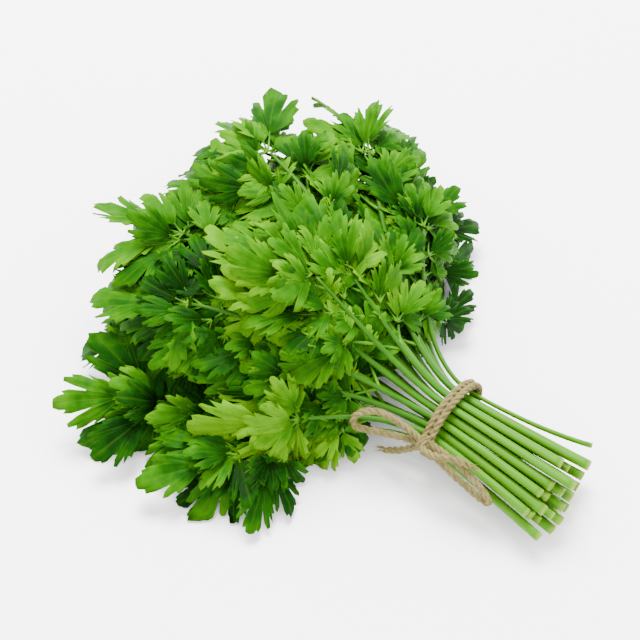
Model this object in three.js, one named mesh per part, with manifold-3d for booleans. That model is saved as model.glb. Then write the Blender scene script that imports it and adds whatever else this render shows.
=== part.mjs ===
// A bunch of flat-leaf herb sprigs that lies on its side, tied with two turns of jute twine in a bow.
// X runs along the bunch, with the cut ends at +X and the leaf tips at -X. Y runs across it.
// Z is up from the surface that it lies on. Lengths are millimetres and angles are degrees.
// Each sprig is one piece, as it grew: a stem that ends in a leaf, here a few flat lobed plates.
// The twine is the two turns with their knot, two bow loops and two free ends.

import * as THREE from "three";
import { mergeVertices } from "three/addons/utils/BufferGeometryUtils.js";
import Module from "manifold-3d";

const wasm = await Module();
wasm.setup();

// ---- Driving dimensions ----

// How many stems each row of the tied bundle holds, from the lowest row up. Each row nests in the next.
const bundleRows = [2, 5, 8, 7, 8, 5, 2];

// A stem: its radius at four places, its cut end's distance past the tie, and where its tube may bend.
// The cutter values are for the coarser, fatter stem that cuts back its neighbours' leaves.
const stem = {
  cutRadius: 2.7,
  tieRadius: 2.1,
  forkRadius: 1.3,
  tipRadius: 0.7,
  belowTie: 63,
  cutJitter: 7,
  girthRange: [0.76, 1.04],
  gap: 0.5,
  restGap: 0.2,
  sides: 6,
  cutterSides: 4,
  cutterGirth: 1.2,
  lastSpan: 12,
  stations: [-30, 0, 22, 44, 70, 100, 130],
};

// One thin stem on the far side strays from the others: its slot's number, its girth and how far it strays.
const stray = { slot: 29, girth: 0.52, aside: 5 };

// Short sprigs that cover the neck: their slots' numbers and their lengths.
const collar = { 15: 52, 30: 58, 31: 80, 32: 78, 34: 60, 36: 64 };

// Another number here grows every sprig a little differently.
const seed = 25;

// How much wider the bundle is at its cut ends than at the tie,
// and the least gap between the thickest cut ends.
const cutFlare = { width: 0.42, power: 1.3, gap: 0.3 };

// The leafy head: how long its stems are past the tie, how they fan out to each side, and how they climb.
const head = {
  reach: 144,
  reachJitter: 12,
  nearShare: 0.32,
  farShare: 0.26,
  topShare: 0.12,
  shortFrom: 0.4,
  shortShare: 0.36,
  shortShareRise: 0.3,
  shortRange: [0.46, 0.8],
  nearFan: 1.26,
  farFan: 1.2,
  fanEase: 80,
  climb: 125,
  low: 3.5,
  middle: 54,
  high: 106,
  nearDroop: 0.45,
  farDroop: 0.1,
};

// A leaf's plates. The spray is its three top blades and ends the stem. A lobe pair is two lower blades.
// back is how far below the stem's tip the plate starts, and angle is its turn from the stem.
// Lobes grow only on stems that are longer than minLength, further out than innerEdge and not below lowest.
const spray = { back: 0, side: 0, stalk: 1, length: 50, angle: 0 };
const lobePairs = [
  { back: 30, stalk: 13, length: 36, angle: 38, innerEdge: 0.5, lowest: -1, minLength: 57 },
  { back: 58, stalk: 15, length: 31, angle: 46, innerEdge: 0.75, lowest: -1, minLength: 100 },
  { back: 78, stalk: 9, length: 30, angle: 34, innerEdge: 0.4, lowest: 0.2, minLength: 108 },
];

// Half outlines, as shares of the plate's length: along it and to the side.
// The hulls are coarser and outside them.
const sprayHalf = [
  [0.16, 0.2],
  [0.42, 0.54],
  [0.64, 0.48],
  [0.56, 0.24],
  [0.86, 0.28],
];
const sprayHull = [sprayHalf[1], sprayHalf[2], sprayHalf[4]];
const lobeHalf = [
  [0.5, 0.5],
  [0.68, 0.27],
  [0.88, 0.26],
];
const lobeHull = [lobeHalf[0], lobeHalf[2]];

// What every plate shares: its thickness, its stalk, its clear gaps, and how it hangs and rolls.
// One that would meet the surface is lifted a step at a time, and rolls less with each step.
const plate = {
  thickness: 0.6,
  stalkHalf: 0.7,
  rootDepth: 0.5,
  gap: 0.4,
  floorGap: 0.3,
  droop: 16,
  roll: 22,
  turnJitter: 8,
  sizeJitter: 0.14,
  liftStep: 4,
  mostLifts: 20,
  flatAfter: 12,
};

// The twine: its radius, its gap, how far apart its turns are in radii, and its height over the surface.
const twine = { radius: 1.7, gap: 0.4, turnPitch: 1.8, underneath: 3 };

// The knot: its angle round the bundle, how far it stands out, and its half sizes in twine radii.
const knot = { angle: 164, standOff: 1.6, along: 2.5, round: 3.1, out: 2.1 };

// The free lengths of twine, as points laid over the bundle: [along, round, out].
// along is how far from the knot's end, towards the leaves where side is 1. round is degrees past the knot.
// out is the clear height of the twine over the stems.
const cords = {
  bow_loop_left: {
    side: 1,
    points: [
      [0.6, -6, 3.3],
      [5, -11, 4.7],
      [12, -16, 5.7],
      [20, -18, 4.7],
      [27, -14, 3.2],
      [30.5, -6, 2.1],
      [29, 3, 1.5],
      [23, 8, 1.3],
      [14, 9, 1.7],
      [6, 7, 2.1],
      [0.6, 5, 2.3],
    ],
  },
  bow_loop_right: {
    side: -1,
    points: [
      [0.6, -6, 3.3],
      [6, -9, 4.7],
      [14, -9, 4.7],
      [23, -5, 3.7],
      [31, 3, 2.1],
      [35, 13, 1.3],
      [33, 22, 1.1],
      [26, 25, 1.1],
      [17, 21, 1.3],
      [8, 14, 1.7],
      [0.8, 7, 2.3],
    ],
  },
  twine_tail_left: {
    side: 1,
    points: [
      [-0.4, 15, 2.1],
      [2, 23, 2.1],
      [6, 32, 3.3],
      [11, 40, 4.7],
      [17, 46, 5.3],
    ],
  },
  twine_tail_right: {
    side: -1,
    points: [
      [-2, -2, 7.1],
      [3, -4, 8.7],
      [9, -9, 8.9],
      [16, -15, 7.3],
      [23, -17, 5.1],
    ],
  },
};
const cordSides = 8;
const cordStepLength = 5.7;
const turnSides = 6;
const turnSteps = 32;
const knotSides = 10;
const knotRings = 8;

const leafGreen = new THREE.Color(0x4f9026);
const youngGreen = new THREE.Color(0x9cc440);
const twineTan = new THREE.Color(0xb79f6c);

// ---- Small helpers ----

// A fixed pseudo-random share from 0 to 1 for sprig i and use k.
function share(i, k) {
  const wave = Math.sin(i * 12.9898 + k * 78.233 + seed) * 43758.5453;
  return wave - Math.floor(wave);
}

// The same, from -1 to 1.
const sway = (i, k) => 2 * share(i, k) - 1;

const { clamp, degToRad, lerp } = THREE.MathUtils;

// A closed geometry as a manifold solid. Corners nearer to each other than mergeWithin become one.
const mergeWithin = 1e-3;
function solidOf(geometry) {
  const bare = new THREE.BufferGeometry();
  bare.setAttribute("position", geometry.getAttribute("position"));
  if (geometry.index) bare.setIndex(geometry.index);
  const merged = mergeVertices(bare, mergeWithin);
  const vertProperties = merged.attributes.position.array;
  const triVerts = new Uint32Array(merged.index.array);
  return new wasm.Manifold(new wasm.Mesh({ numProp: 3, vertProperties, triVerts }));
}

// A manifold solid as a three.js geometry.
function geometryOf(solid) {
  const mesh = solid.getMesh();
  const geometry = new THREE.BufferGeometry();
  geometry.setAttribute("position", new THREE.BufferAttribute(mesh.vertProperties, 3));
  geometry.setIndex(new THREE.BufferAttribute(mesh.triVerts, 1));
  geometry.computeVertexNormals();
  return geometry;
}

const byVolume = (a, b) => b.volume() - a.volume();

// The largest body of a solid, without flakes that hang on by a corner.
const mainBody = (solid) => solidOf(geometryOf(solid)).decompose().sort(byVolume)[0];

// Do two bounding boxes meet?
function meets(a, b) {
  return [0, 1, 2].every((axis) => a.min[axis] <= b.max[axis] && b.min[axis] <= a.max[axis]);
}

// ---- Where the stems run ----

const pitch = 2 * stem.tieRadius + stem.gap;
const rowPitch = pitch * Math.sin(Math.PI / 3);
const halfAcross = ((Math.max(...bundleRows) - 1) / 2) * pitch;
const halfUp = ((bundleRows.length - 1) / 2) * rowPitch;

// The stems' places in the tied bundle: u across and v up, each about -1 to 1.
function bundleSlots() {
  const slots = [];
  bundleRows.forEach((count, row) => {
    const v = (row * rowPitch) / halfUp - 1;
    for (let k = 0; k < count; k++) slots.push({ u: ((k - (count - 1) / 2) * pitch) / halfAcross, v });
  });
  return slots;
}

const slots = bundleSlots();
const bundleEdge = Math.max(...slots.map(({ u, v }) => Math.hypot(u, v)));

// At the cut ends the stems are thicker, so the rows and the stems in a row stand further apart there.
const cutPitch = 2 * stem.cutRadius * stem.girthRange[1] + cutFlare.gap;
const cutWider = Math.max(1 + cutFlare.width, cutPitch / pitch);
const cutHigher = Math.max(1, Math.sqrt(cutPitch ** 2 - ((pitch * cutWider) / 2) ** 2) / rowPitch);

// The middle line of the twine's turns is an ellipse round the bundle.
const clearOfStems = stem.tieRadius + twine.gap + twine.radius;
const ring = { across: halfAcross * bundleEdge + clearOfStems, up: halfUp * bundleEdge + clearOfStems };

// The height of the bundle's middle at the tie, and at the cut ends, where its lowest stems lie down.
const tieHeight = ring.up + twine.radius + twine.underneath;
const cutHeight = halfUp * cutHigher + stem.cutRadius + stem.restGap;

// How high a stem is once it is in the head. The outer ones hang lower.
function headHeight(u, v) {
  const height = head.middle + v * (v > 0 ? head.high - head.middle : head.middle - head.low);
  return height * (1 - (u < 0 ? head.nearDroop : head.farDroop) * u * u);
}

// The point at s from the tie, on the line that grows through a slot.
// s is above 0 towards the leaves and below 0 towards the cut ends.
function stemPoint(u, v, s) {
  if (s <= 0) {
    const t = -s / stem.belowTie;
    const y = u * halfAcross * lerp(1, cutWider, t ** cutFlare.power);
    const z = lerp(tieHeight, cutHeight, t) + v * halfUp * lerp(1, cutHigher, t);
    return new THREE.Vector3(-s, y, z);
  }
  const fan = u < 0 ? head.nearFan : head.farFan;
  const aside = (u * fan * s * s) / (s + head.fanEase);
  const climb = THREE.MathUtils.smoothstep(s, 0, head.climb);
  const z = lerp(tieHeight + v * halfUp, headHeight(u, v), climb);
  return new THREE.Vector3(-Math.sqrt(s * s - aside * aside), u * halfAcross + aside, z);
}

// The radius of a sprig's stem at s.
function stemRadius({ length, girth }, s) {
  if (s < 0) return girth * lerp(stem.tieRadius, stem.cutRadius, -s / stem.belowTie);
  const fork = length - lobePairs[0].back;
  if (s < fork) return lerp(girth * stem.tieRadius, stem.forkRadius, s / fork);
  return lerp(stem.forkRadius, stem.tipRadius, (s - fork) / lobePairs[0].back);
}

// ---- The sprigs ----

// What sets one sprig apart from the next. Some of the outer ones are short and cover the neck.
function sprigPlan({ u, v }, i) {
  const edge = Math.hypot(u, v);
  const sideShare = u < 0 ? head.nearShare : head.farShare;
  let length = head.reach * (1 - sideShare * u * u - head.topShare * Math.max(v, 0) ** 2);
  const isShort = edge > head.shortFrom && share(i, 1) < head.shortShare + head.shortShareRise * v;
  if (isShort) length *= lerp(...head.shortRange, share(i, 7));
  length = collar[i] ?? length + head.reachJitter * sway(i, 2);
  const cut = stem.belowTie + stem.cutJitter * sway(i, 3);
  const strays = i === stray.slot;
  const girth = strays ? stray.girth : lerp(...stem.girthRange, share(i, 10));
  return { i, u, v, edge, length, cut, strays, girth, size: 1 + plate.sizeJitter * sway(i, 4) };
}

// The point of a sprig's own stem at s.
function sprigPoint({ u, v, strays }, s) {
  const at = stemPoint(u, v, s);
  if (strays && s < 0) at.y += stray.aside * (-s / stem.belowTie) ** 3;
  return at;
}

// A stem's own frame at s: where it is, which way it runs, and which way its leaf's upper side faces.
function stemFrame(plan, s) {
  const { i, u, v } = plan;
  const at = sprigPoint(plan, s);
  const along = sprigPoint(plan, s + 2).sub(sprigPoint(plan, s - 2)).normalize();
  const face = new THREE.Vector3(0.35 * sway(i, 5), 0.9 * u + 0.3 * sway(i, 6), 0.75 + 0.45 * v);
  face.addScaledVector(along, -face.dot(along)).normalize();
  return { at, along, face };
}

// A tapered stem, turned on a lathe and then bent along its route. Neighbours bend at the same stations,
// so they keep clear of one another. Grown is how much fatter it is made, to cut its neighbours' leaves.
function stemSolid(plan, grown = 0) {
  const fatter = grown ? stem.cutterGirth : 1;
  const stations = stem.stations.filter((s) => s < plan.length - stem.lastSpan);
  const lengths = [-plan.cut - grown, ...stations, plan.length + grown];
  const profile = lengths.map((s) => new THREE.Vector2(stemRadius(plan, s) * fatter + grown, s));
  profile.unshift(new THREE.Vector2(0, lengths[0]));
  profile.push(new THREE.Vector2(0, lengths.at(-1)));
  const geometry = new THREE.LatheGeometry(profile, grown ? stem.cutterSides : stem.sides);
  const position = geometry.getAttribute("position");
  const point = new THREE.Vector3();
  for (let k = 0; k < position.count; k++) {
    point.fromBufferAttribute(position, k);
    const { at, along, face } = stemFrame(plan, point.y);
    const side = new THREE.Vector3().crossVectors(face, along);
    at.addScaledVector(face, point.x).addScaledVector(side, point.z);
    position.setXYZ(k, at.x, at.y, at.z);
  }
  return solidOf(geometry);
}

// The plates of one sprig: its spray and its pairs of lobes.
function plateRows({ v, edge, length }) {
  const rows = [{ ...spray, half: sprayHalf, hull: sprayHull }];
  for (const lobe of lobePairs) {
    if (edge <= lobe.innerEdge || v < lobe.lowest || length <= lobe.minLength) continue;
    for (const side of [-1, 1]) rows.push({ ...lobe, half: lobeHalf, hull: lobeHull, side });
  }
  return rows;
}

// A plate's place: its base, its direction and the way its upper side faces, lifted clear of the surface.
function platePlace(plan, row, n) {
  const { at, along, face } = stemFrame(plan, plan.length - row.back * plan.size);
  const turn = row.side * (row.angle + plate.turnJitter * sway(plan.i, 20 + n));
  const direction = along.clone().applyAxisAngle(face, degToRad(turn));
  const hinge = new THREE.Vector3().crossVectors(face, direction).normalize();
  const droop = plate.droop * (0.6 + 0.8 * share(plan.i, 30 + n));
  const roll = plate.roll * sway(plan.i, 40 + n);
  for (let lifts = 0; ; lifts++) {
    const tilt = degToRad(droop - plate.liftStep * lifts);
    const reach = direction.clone().applyAxisAngle(hinge, tilt);
    const up = face.clone().applyAxisAngle(hinge, tilt);
    up.applyAxisAngle(reach, degToRad(roll * clamp(1 - lifts / plate.flatAfter, 0, 1)));
    const place = { at, reach, up, side: new THREE.Vector3().crossVectors(up, reach) };
    if (lifts > plate.mostLifts || lowestOf(plan, row, place) > plate.floorGap) return place;
  }
}

// About how low a placed plate reaches, at its tip or at its widest.
function lowestOf(plan, row, place) {
  const size = row.length * plan.size;
  const far = place.at.z + place.reach.z * (row.stalk + size);
  const wide = place.at.z + place.reach.z * (row.stalk + 0.5 * size) - Math.abs(place.side.z) * 0.54 * size;
  return Math.min(far, wide) - plate.thickness;
}

// A plate with its stalk. Grown is how much fatter its hull is made, where it cuts its neighbours.
function plateSolid(plan, row, place, grown = 0) {
  const size = row.length * plan.size;
  const stalkHalf = plate.stalkHalf + grown;
  const outline = [[-plate.rootDepth, stalkHalf]];
  if (row.stalk > 5) outline.push([row.stalk, stalkHalf]);
  for (const [along, aside] of grown ? row.hull : row.half) {
    outline.push([row.stalk + along * size, aside * size + grown]);
  }
  const tip = [row.stalk + size + grown, 0];
  const mirrored = outline.map(([along, aside]) => [along, -aside]).reverse();
  const corners = [...outline, tip, ...mirrored].map(([x, y]) => new THREE.Vector2(x, y));
  const depth = plate.thickness + 2 * grown;
  const geometry = new THREE.ExtrudeGeometry(new THREE.Shape(corners), { depth, bevelEnabled: false });
  geometry.translate(0, 0, -depth / 2);
  const basis = new THREE.Matrix4().makeBasis(place.reach, place.side, place.up).setPosition(place.at);
  return solidOf(geometry.applyMatrix4(basis));
}

// The least volume in mm3 that a plate must share with its stem, and how much detail may be lost in mm.
const leastJoint = 0.02;
const plateDetail = 0.2;
const sprigDetail = 0.15;

// The largest piece of a cut plate that is still joined to its own stem, if there is one.
function joinedPiece(cut, own) {
  const joined = cut.decompose().filter((piece) => piece.intersect(own).volume() > leastJoint);
  return joined.sort(byVolume)[0];
}

// ---- The twine ----

// A point of the ring's middle line at an angle round the bundle, and the way out from it.
function ringPoint(angle) {
  const across = Math.cos(angle);
  const up = Math.sin(angle);
  return {
    at: new THREE.Vector3(0, ring.across * across, tieHeight + ring.up * up),
    out: new THREE.Vector3(0, across / ring.across, up / ring.up).normalize(),
  };
}

// One turn of twine round the bundle: a torus whose round middle line is moved onto the ellipse.
function turnSolid(x) {
  const round = 100;
  const geometry = new THREE.TorusGeometry(round, twine.radius, turnSides, turnSteps);
  const position = geometry.getAttribute("position");
  for (let k = 0; k < position.count; k++) {
    const a = position.getX(k);
    const b = position.getY(k);
    const { at, out } = ringPoint(Math.atan2(b, a));
    at.addScaledVector(out, Math.hypot(a, b) - round);
    position.setXYZ(k, x + position.getZ(k), at.y, at.z);
  }
  return solidOf(geometry);
}

function knotSolid() {
  const { at, out } = ringPoint(degToRad(knot.angle));
  const along = new THREE.Vector3(1, 0, 0);
  const round = new THREE.Vector3().crossVectors(out, along);
  const geometry = new THREE.SphereGeometry(twine.radius, knotSides, knotRings);
  geometry.scale(knot.along, knot.round, knot.out);
  const place = at.addScaledVector(out, knot.standOff);
  const basis = new THREE.Matrix4().makeBasis(along, round, out).setPosition(place);
  return solidOf(geometry.applyMatrix4(basis));
}

// A point of a free length, laid over the bundle's own surface.
function cordPoint(side, [along, round, out]) {
  const angle = degToRad(knot.angle + round);
  const s = side * (knot.along * twine.radius + along);
  const { out: away } = ringPoint(angle);
  const surface = stemPoint(Math.cos(angle) * bundleEdge, Math.sin(angle) * bundleEdge, s);
  return surface.addScaledVector(away, stem.tieRadius + twine.radius + out);
}

function cordSolid({ side, points }, grown = 0) {
  const curve = new THREE.CatmullRomCurve3(points.map((point) => cordPoint(side, point)));
  const section = new THREE.Shape();
  for (let k = 0; k < cordSides; k++) {
    const corner = new THREE.Vector2(twine.radius + grown, 0).rotateAround(
      new THREE.Vector2(),
      (2 * Math.PI * k) / cordSides,
    );
    if (k === 0) section.moveTo(corner.x, corner.y);
    else section.lineTo(corner.x, corner.y);
  }
  const steps = Math.round(curve.getLength() / cordStepLength);
  return solidOf(new THREE.ExtrudeGeometry(section, { steps, extrudePath: curve, bevelEnabled: false }));
}

// ---- The whole bunch ----

const bunch = new THREE.Group();

function addNode(name, solid, color, roughness) {
  const material = new THREE.MeshStandardMaterial({ color, roughness, metalness: 0 });
  const mesh = new THREE.Mesh(geometryOf(solid), material);
  mesh.name = name;
  bunch.add(mesh);
}

const halfTurn = (twine.turnPitch * twine.radius) / 2;
const twineTie = turnSolid(-halfTurn).add(turnSolid(halfTurn)).add(knotSolid());
addNode("twine_tie", twineTie, twineTan, 0.95);

// Each leaf plate is cut back from the twine and from the leaves that are already set.
const inTheWay = [twineTie];
for (const [name, cord] of Object.entries(cords)) {
  addNode(name, cordSolid(cord), twineTan, 0.95);
  inTheWay.push(cordSolid(cord, plate.gap));
}

const plans = slots.map(sprigPlan);
const fatStems = plans.map((plan) => stemSolid(plan, plate.gap));

// One sprig: its stem and what is left of each plate once it is cut back from its neighbours.
function sprigSolid(plan) {
  const own = stemSolid(plan);
  const neighbours = [...fatStems.filter((_, i) => i !== plan.i), ...inTheWay];
  let sprig = own;
  plateRows(plan).forEach((row, n) => {
    const place = platePlace(plan, row, n);
    const whole = plateSolid(plan, row, place);
    const box = whole.boundingBox();
    const cutters = neighbours.filter((other) => meets(box, other.boundingBox()));
    const left = joinedPiece(cutters.reduce((cut, other) => cut.subtract(other), whole), own);
    if (!left) return;
    sprig = sprig.add(left.simplify(plateDetail));
    inTheWay.push(plateSolid(plan, row, place, plate.gap));
  });
  return mainBody(sprig.simplify(sprigDetail));
}

// The outer, upper sprigs are set first and keep their whole leaves. The rest grow round them.
const prominence = ({ v, edge }) => v + 0.8 * edge;
for (const plan of [...plans].sort((a, b) => prominence(b) - prominence(a))) {
  const colour = leafGreen.clone().lerp(youngGreen, share(plan.i, 8) ** 2);
  addNode(`sprig_${String(plan.i + 1).padStart(2, "0")}`, sprigSolid(plan), colour, 0.5);
}

// The origin is on the surface, under the middle of the whole bunch.
const box = new THREE.Box3().setFromObject(bunch);
const middle = box.getCenter(new THREE.Vector3());
bunch.position.set(-middle.x, -middle.y, -box.min.z);

export default bunch;
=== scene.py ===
import math

import bpy
import bmesh
import numpy as np
from mathutils import Matrix, Vector


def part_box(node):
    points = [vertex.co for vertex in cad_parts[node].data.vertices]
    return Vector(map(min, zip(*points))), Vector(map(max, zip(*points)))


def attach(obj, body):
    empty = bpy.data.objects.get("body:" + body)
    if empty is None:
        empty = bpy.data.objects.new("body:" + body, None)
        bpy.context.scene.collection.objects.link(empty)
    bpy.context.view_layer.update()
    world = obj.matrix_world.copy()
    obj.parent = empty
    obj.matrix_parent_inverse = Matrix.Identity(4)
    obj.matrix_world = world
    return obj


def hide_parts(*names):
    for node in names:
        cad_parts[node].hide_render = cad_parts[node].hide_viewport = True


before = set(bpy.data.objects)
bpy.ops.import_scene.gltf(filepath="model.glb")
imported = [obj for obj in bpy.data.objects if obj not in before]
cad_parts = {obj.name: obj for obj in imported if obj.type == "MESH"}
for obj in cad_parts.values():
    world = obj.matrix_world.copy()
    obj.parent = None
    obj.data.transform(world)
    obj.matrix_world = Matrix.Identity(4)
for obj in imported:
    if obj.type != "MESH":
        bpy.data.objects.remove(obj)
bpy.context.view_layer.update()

# A tied bunch of flat-leaf herb. Metres, Z up. The cut ends are at +X, the leaves at -X.
mm = 0.001

# the layout repeats the CAD model's own sizes, in mm, so that the stems and the main fronds grow
# where their solids are
bundle = {
    "rows": [2, 5, 8, 7, 8, 5, 2],
    "seed": 25,
    "tieRadius": 2.1,
    "cutRadius": 2.7,
    "gap": 0.5,
    "restGap": 0.2,
    "belowTie": 63,
    "cutJitter": 7,
    "girthRange": (0.76, 1.04),
    "flareWidth": 0.42,
    "flarePower": 1.3,
    "flareGap": 0.3,
}
stray = {"slot": 29, "girth": 0.52, "aside": 5}
collar = {15: 52, 30: 58, 31: 80, 32: 78, 34: 60, 36: 64}
head = {
    "reach": 144,
    "reachJitter": 12,
    "nearShare": 0.32,
    "farShare": 0.26,
    "topShare": 0.12,
    "shortFrom": 0.4,
    "shortShare": 0.36,
    "shortShareRise": 0.3,
    "shortRange": (0.46, 0.8),
    "nearFan": 1.26,
    "farFan": 1.2,
    "fanEase": 80,
    "climb": 125,
    "low": 3.5,
    "middle": 54,
    "high": 106,
    "nearDroop": 0.45,
    "farDroop": 0.1,
}
twine = {
    "radius": 1.7,
    "gap": 0.4,
    "turnPitch": 1.8,
    "underneath": 3,
    "knotAngle": 164,
    "knotAlong": 2.5,
    "plies": 3,
    "twistPitch": 11,
    "fray": 1.8,
}
leaf = {
    "sizeJitter": 0.14,
    "turnJitter": 8,
    "droop": 16,
    "droopLeast": 0.6,
    "droopMore": 0.8,
    "roll": 22,
    "liftStep": 4,
    "lifts": 22,
    "flatAfter": 12,
    "thickness": 0.6,
    "floorGap": 0.3,
    "halfWidth": 0.54,
    "forkBack": 30,
    "forkRadius": 1.3,
    "tipRadius": 0.75,
}
facing = {"alongJitter": 0.35, "outward": 0.9, "outwardJitter": 0.3, "upward": 0.75, "upwardRise": 0.45}


def deselectAll():
    if bpy.context.object and bpy.context.object.mode != "OBJECT":
        bpy.ops.object.mode_set(mode="OBJECT")
    bpy.ops.object.select_all(action="DESELECT")


def activate(piece):
    deselectAll()
    piece.select_set(True)
    bpy.context.view_layer.objects.active = piece


def share(i, k):
    # a fixed draw from 0 to 1 for thing i, where k tells its draws apart
    wave = math.sin(i * 12.9898 + k * 78.233 + bundle["seed"]) * 43758.5453
    return wave - math.floor(wave)


def sway(i, k):
    # the same kind of draw, from -1 to 1
    return 2 * share(i, k) - 1


def lerp(a, b, t):
    return a + (b - a) * t


def clamp(t, low=0.0, high=1.0):
    return min(max(t, low), high)


# places are in mm, from the tie along X and from the floor up, until toFrame moves them
pitch = 2 * bundle["tieRadius"] + bundle["gap"]
rowPitch = pitch * math.sin(math.pi / 3)
halfAcross = (max(bundle["rows"]) - 1) / 2 * pitch
halfUp = (len(bundle["rows"]) - 1) / 2 * rowPitch
slots = []
for row, count in enumerate(bundle["rows"]):
    for k in range(count):
        slots.append(((k - (count - 1) / 2) * pitch / halfAcross, row * rowPitch / halfUp - 1))
bundleEdge = max(math.hypot(u, v) for u, v in slots)
clearOfStems = bundle["tieRadius"] + twine["gap"] + twine["radius"]
ringAcross = halfAcross * bundleEdge + clearOfStems
ringUp = halfUp * bundleEdge + clearOfStems
tieHeight = ringUp + twine["radius"] + twine["underneath"]
cutPitch = 2 * bundle["cutRadius"] * bundle["girthRange"][1] + bundle["flareGap"]
cutWider = max(1 + bundle["flareWidth"], cutPitch / pitch)
cutHigher = max(1, math.sqrt(cutPitch ** 2 - (pitch * cutWider / 2) ** 2) / rowPitch)
cutHeight = halfUp * cutHigher + bundle["cutRadius"] + bundle["restGap"]

tieLow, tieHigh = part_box("twine_tie")
origin = Vector((
    (tieLow[0] + tieHigh[0]) / 2,
    tieHigh[1] - (ringAcross + twine["radius"]) * mm,
    tieLow[2] - twine["underneath"] * mm,
))


def toFrame(point):
    return origin + Vector(point) * mm


def headHeight(u, v):
    height = head["middle"] + v * (head["high"] - head["middle"] if v > 0 else head["middle"] - head["low"])
    return height * (1 - (head["nearDroop"] if u < 0 else head["farDroop"]) * u * u)


def stemPoint(u, v, s):
    if s <= 0:
        t = -s / bundle["belowTie"]
        y = u * halfAcross * lerp(1, cutWider, t ** bundle["flarePower"])
        z = lerp(tieHeight, cutHeight, t) + v * halfUp * lerp(1, cutHigher, t)
        return Vector((-s, y, z))
    fan = head["nearFan"] if u < 0 else head["farFan"]
    aside = u * fan * s * s / (s + head["fanEase"])
    t = clamp(s / head["climb"])
    z = lerp(tieHeight + v * halfUp, headHeight(u, v), t * t * (3 - 2 * t))
    return Vector((-math.sqrt(s * s - aside * aside), u * halfAcross + aside, z))


def stemRadius(plan, s):
    if s < 0:
        return plan["girth"] * lerp(bundle["tieRadius"], bundle["cutRadius"], -s / bundle["belowTie"])
    fork = plan["length"] - leaf["forkBack"]
    if s < fork:
        return lerp(plan["girth"] * bundle["tieRadius"], leaf["forkRadius"], s / fork)
    return lerp(leaf["forkRadius"], leaf["tipRadius"], (s - fork) / leaf["forkBack"])


def sprigPlan(i, u, v):
    edge = math.hypot(u, v)
    sideShare = head["nearShare"] if u < 0 else head["farShare"]
    length = head["reach"] * (1 - sideShare * u * u - head["topShare"] * max(v, 0) ** 2)
    if edge > head["shortFrom"] and share(i, 1) < head["shortShare"] + head["shortShareRise"] * v:
        length *= lerp(*head["shortRange"], share(i, 7))
    length = collar.get(i, length + head["reachJitter"] * sway(i, 2))
    strays = i == stray["slot"]
    return {
        "i": i, "u": u, "v": v, "edge": edge, "length": length, "strays": strays,
        "cut": bundle["belowTie"] + bundle["cutJitter"] * sway(i, 3),
        "girth": stray["girth"] if strays else lerp(*bundle["girthRange"], share(i, 10)),
        "size": 1 + leaf["sizeJitter"] * sway(i, 4),
    }


def sprigPoint(plan, s):
    at = stemPoint(plan["u"], plan["v"], s)
    if plan["strays"] and s < 0:
        at.y += stray["aside"] * (-s / bundle["belowTie"]) ** 3
    return at


def stemFrame(plan, s):
    i, u, v = plan["i"], plan["u"], plan["v"]
    at = sprigPoint(plan, s)
    along = (sprigPoint(plan, s + 2) - sprigPoint(plan, s - 2)).normalized()
    face = Vector((
        facing["alongJitter"] * sway(i, 5),
        facing["outward"] * u + facing["outwardJitter"] * sway(i, 6),
        facing["upward"] + facing["upwardRise"] * v,
    ))
    face = (face - along * face.dot(along)).normalized()
    return at, along, face


def ringPoint(angle):
    across, up = math.cos(angle), math.sin(angle)
    out = Vector((0, across / ringAcross, up / ringUp)).normalized()
    return Vector((0, ringAcross * across, tieHeight + ringUp * up)), out


plans = [sprigPlan(i, u, v) for i, (u, v) in enumerate(slots)]

shot = {
    "azimuth": 38,
    "elevation": 50,
    "distance": 0.74,
    "lens": 85,
    "sensor": 36,
    "aim": (-0.0135, -0.005, 0.035),
    "nearest": 0.02,
}
bpy.ops.object.camera_add()
camera = bpy.context.object
camera.name = "bunchCamera"
camera.data.lens = shot["lens"]
camera.data.sensor_width = shot["sensor"]
azimuth, elevation = math.radians(shot["azimuth"]), math.radians(shot["elevation"])
back = Vector((
    math.sin(azimuth) * math.cos(elevation),
    -math.cos(azimuth) * math.cos(elevation),
    math.sin(elevation),
))
camera.location = Vector(shot["aim"]) + back * shot["distance"]
camera.rotation_euler = back.to_track_quat("Z", "Y").to_euler()
camera.data.clip_start = shot["nearest"]
bpy.context.scene.camera = camera
print("camera set")

# each cord has a side of the tie, and its points as mm along from the knot, degrees round and mm out
cords = {
    "bow_loop_left": (1, [
        (0.6, -6, 3.3), (5, -11, 4.7), (12, -16, 5.7), (20, -18, 4.7), (27, -14, 3.2), (30.5, -6, 2.1),
        (29, 3, 1.5), (23, 8, 1.3), (14, 9, 1.7), (6, 7, 2.1), (0.6, 5, 2.3),
    ]),
    "bow_loop_right": (-1, [
        (0.6, -6, 3.3), (6, -9, 4.7), (14, -9, 4.7), (23, -5, 3.7), (31, 3, 2.1), (35, 13, 1.3),
        (33, 22, 1.1), (26, 25, 1.1), (17, 21, 1.3), (8, 14, 1.7), (0.8, 7, 2.3),
    ]),
    "twine_tail_left": (1, [(-0.4, 15, 2.1), (2, 23, 2.1), (6, 32, 3.3), (11, 40, 4.7), (17, 46, 5.3)]),
    "twine_tail_right": (-1, [(-2, -2, 7.1), (3, -4, 8.7), (9, -9, 8.9), (16, -15, 7.3), (23, -17, 5.1)]),
}


def cordPoint(side, along, roundBy, out):
    angle = math.radians(twine["knotAngle"] + roundBy)
    s = side * (twine["knotAlong"] * twine["radius"] + along)
    surface = stemPoint(math.cos(angle) * bundleEdge, math.sin(angle) * bundleEdge, s)
    return surface + ringPoint(angle)[1] * (bundle["tieRadius"] + twine["radius"] + out)


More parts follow.
